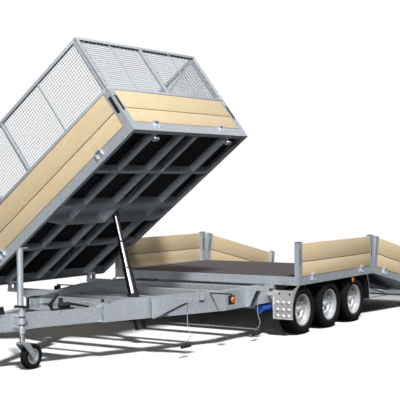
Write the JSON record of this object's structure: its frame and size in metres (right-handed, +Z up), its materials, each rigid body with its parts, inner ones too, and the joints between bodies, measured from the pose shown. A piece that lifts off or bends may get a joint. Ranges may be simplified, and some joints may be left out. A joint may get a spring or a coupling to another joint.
{
  "type": "plant trailer",
  "caption": "Long plant trailer with a side-tipping mesh-caged body ahead of its flat deck, sloping beavertail, lowered ramp and jack wheel.",
  "frame": {"origin": "centre of the towing eye's bore, at half its thickness", "axes": "+X forward along the trailer, +Y to its left, +Z up along the towing eye's bore; the ground is 0.43 m below the origin"},
  "size_m": [8.1383, 3.2456, 3.0611],
  "materials": {
    "galvanised": "hot-dip galvanised, satin with spangle",
    "bright_steel": "zinc-plated steel",
    "black_steel": "black paint",
    "chrome_ram": "hard-chromed tube",
    "tyre": "black rubber",
    "rim_silver": "silver paint",
    "board_cream": "pale planks, clear coat",
    "deck_ply": "brown phenolic film, anti-slip",
    "body_ply": "black phenolic film",
    "tread_plate": "five-bar tread plate",
    "amber_lens": "clear amber lens",
    "red_lens": "clear red lens",
    "blue_paint": "blue enamel",
    "lanyard": "coated wire"
  },
  "bodies": {
    "chassis": {"drawbar": "galvanised", "coupling": "galvanised", "brake_lever": "black_steel", "main_frame": "galvanised", "outriggers": "galvanised", "hinge_pins": "bright_steel", "ram_mount": "galvanised", "jack_tube": "galvanised", "axle_front": "galvanised", "axle_mid": "galvanised", "axle_rear": "galvanised", "deck_frame": "galvanised", "deck_floor": "deck_ply", "tail_frame": "galvanised", "tail_floor": "deck_ply", "deck_posts": "galvanised", "splash_plates": "tread_plate", "side_lamps": "amber_lens", "rear_lamps": "red_lens", "stanchion": "galvanised", "hand_pump": "black_steel", "fluid_tank": "blue_paint", "lock_pin_front": "black_steel", "lock_pin_rear": "black_steel", "lanyard_front": "lanyard", "lanyard_rear": "lanyard"},
    "tipping_body": {"body_frame": "galvanised", "body_floor": "body_ply", "body_posts": "galvanised", "body_board_rear": "board_cream", "body_cage": "galvanised"},
    "gate": {"body_gate": "board_cream"},
    "left_drop_side": {"body_board_left": "board_cream"},
    "front_drop_side": {"body_board_front": "board_cream"},
    "deck_board_left": {"deck_board_left": "board_cream"},
    "deck_board_right": {"deck_board_right": "board_cream"},
    "tail_board_left": {"tail_board_left": "board_cream"},
    "tail_board_right": {"tail_board_right": "board_cream"},
    "loading_ramp": {"loading_ramp": "galvanised"},
    "ram_barrel": {"ram_barrel": "black_steel"},
    "ram_stage_1": {"ram_stage_1": "chrome_ram"},
    "ram_stage_2": {"ram_stage_2": "chrome_ram"},
    "ram_stage_3": {"ram_stage_3": "chrome_ram"},
    "jack_stem": {"jack_stem": "bright_steel"},
    "jack_fork": {"jack_fork": "galvanised"},
    "jack_wheel": {"jack_tyre": "tyre", "jack_rim": "rim_silver"},
    "wheel_left_front": {"tyre_left_front": "tyre", "rim_left_front": "rim_silver"},
    "wheel_right_front": {"tyre_right_front": "tyre", "rim_right_front": "rim_silver"},
    "wheel_left_mid": {"tyre_left_mid": "tyre", "rim_left_mid": "rim_silver"},
    "wheel_right_mid": {"tyre_right_mid": "tyre", "rim_right_mid": "rim_silver"},
    "wheel_left_rear": {"tyre_left_rear": "tyre", "rim_left_rear": "rim_silver"},
    "wheel_right_rear": {"tyre_right_rear": "tyre", "rim_right_rear": "rim_silver"}
  },
  "joints": [
    {"name": "body_tip", "type": "hinge", "parent": "chassis", "child": "tipping_body", "pos_m": [-2.5125, -1.189, 0.195], "axis": [1, 0, 0], "range_deg": [-37.5, 6]},
    {"name": "gate_swing", "type": "hinge", "parent": "tipping_body", "child": "gate", "pos_m": [-2.5125, -1.57095, 0.53342], "axis": [-1, 0, 0], "range_deg": [-46, 50]},
    {"name": "left_side_drop", "type": "hinge", "parent": "tipping_body", "child": "left_drop_side", "pos_m": [-2.5125, 0.69194, 1.81098], "axis": [-1, 0, 0], "range_deg": [0, 180]},
    {"name": "front_board_drop", "type": "hinge", "parent": "tipping_body", "child": "front_drop_side", "pos_m": [-1.468, -0.3291, 1.02751], "axis": [0, 0.7934, 0.6088], "range_deg": [0, 90]},
    {"name": "deck_left_drop", "type": "hinge", "parent": "chassis", "child": "deck_board_left", "pos_m": [-4.55, 1.262, 0.208], "axis": [-1, 0, 0], "range_deg": [0, 180]},
    {"name": "tail_left_drop", "type": "hinge", "parent": "chassis", "child": "tail_board_left", "pos_m": [-6.47111, 1.262, 0.01029], "axis": [-0.9781, 0, -0.2079], "range_deg": [0, 135]},
    {"name": "deck_right_drop", "type": "hinge", "parent": "chassis", "child": "deck_board_right", "pos_m": [-4.55, -1.262, 0.208], "axis": [1, 0, 0], "range_deg": [0, 180]},
    {"name": "tail_right_drop", "type": "hinge", "parent": "chassis", "child": "tail_board_right", "pos_m": [-6.47111, -1.262, 0.01029], "axis": [0.9781, 0, 0.2079], "range_deg": [0, 135]},
    {"name": "ramp_lift", "type": "hinge", "parent": "chassis", "child": "loading_ramp", "pos_m": [-7.32128, 0, -0.22256], "axis": [0, 1, 0], "range_deg": [0, 90]},
    {"name": "ram_swing", "type": "hinge", "parent": "chassis", "child": "ram_barrel", "pos_m": [-2.4, 0.02, 0.01], "axis": [1, 0, 0], "range_deg": [-16, 2.5]},
    {"name": "ram_extend_1", "type": "slide", "parent": "ram_barrel", "child": "ram_stage_1", "axis": [0, -0.2644, 0.9644], "range_m": [-0.2591, 0.042]},
    {"name": "ram_extend_2", "type": "slide", "parent": "ram_stage_1", "child": "ram_stage_2", "axis": [0, -0.2644, 0.9644], "range_m": [-0.2591, 0.042]},
    {"name": "ram_extend_3", "type": "slide", "parent": "ram_stage_2", "child": "ram_stage_3", "axis": [0, -0.2644, 0.9644], "range_m": [-0.2591, 0.042]},
    {"name": "jack_height", "type": "slide", "parent": "chassis", "child": "jack_stem", "axis": [0, 0, 1], "range_m": [-0.06, 0.07]},
    {"name": "jack_swivel", "type": "hinge", "parent": "jack_stem", "child": "jack_fork", "pos_m": [-0.588, 0.16266, -0.14], "axis": [0, 0, 1], "continuous": true},
    {"name": "jack_wheel_spin", "type": "hinge", "parent": "jack_fork", "child": "jack_wheel", "pos_m": [-0.7, 0.16266, -0.315], "axis": [0, 1, 0], "continuous": true},
    {"name": "wheel_left_front_spin", "type": "hinge", "parent": "chassis", "child": "wheel_left_front", "pos_m": [-3.85, 1.1175, -0.1675], "axis": [0, 1, 0], "continuous": true},
    {"name": "wheel_right_front_spin", "type": "hinge", "parent": "chassis", "child": "wheel_right_front", "pos_m": [-3.85, -1.1175, -0.1675], "axis": [0, 1, 0], "continuous": true},
    {"name": "wheel_left_mid_spin", "type": "hinge", "parent": "chassis", "child": "wheel_left_mid", "pos_m": [-4.477, 1.1175, -0.1675], "axis": [0, 1, 0], "continuous": true},
    {"name": "wheel_right_mid_spin", "type": "hinge", "parent": "chassis", "child": "wheel_right_mid", "pos_m": [-4.477, -1.1175, -0.1675], "axis": [0, 1, 0], "continuous": true},
    {"name": "wheel_left_rear_spin", "type": "hinge", "parent": "chassis", "child": "wheel_left_rear", "pos_m": [-5.104, 1.1175, -0.1675], "axis": [0, 1, 0], "continuous": true},
    {"name": "wheel_right_rear_spin", "type": "hinge", "parent": "chassis", "child": "wheel_right_rear", "pos_m": [-5.104, -1.1175, -0.1675], "axis": [0, 1, 0], "continuous": true}
  ],
  "couplings": [
    {"joint": "ram_swing", "follows": "body_tip", "ratio": 0.40879},
    {"joint": "ram_extend_1", "follows": "body_tip", "m_per_rad": 0.392},
    {"joint": "ram_extend_2", "follows": "body_tip", "m_per_rad": 0.392},
    {"joint": "ram_extend_3", "follows": "body_tip", "m_per_rad": 0.392}
  ]
}
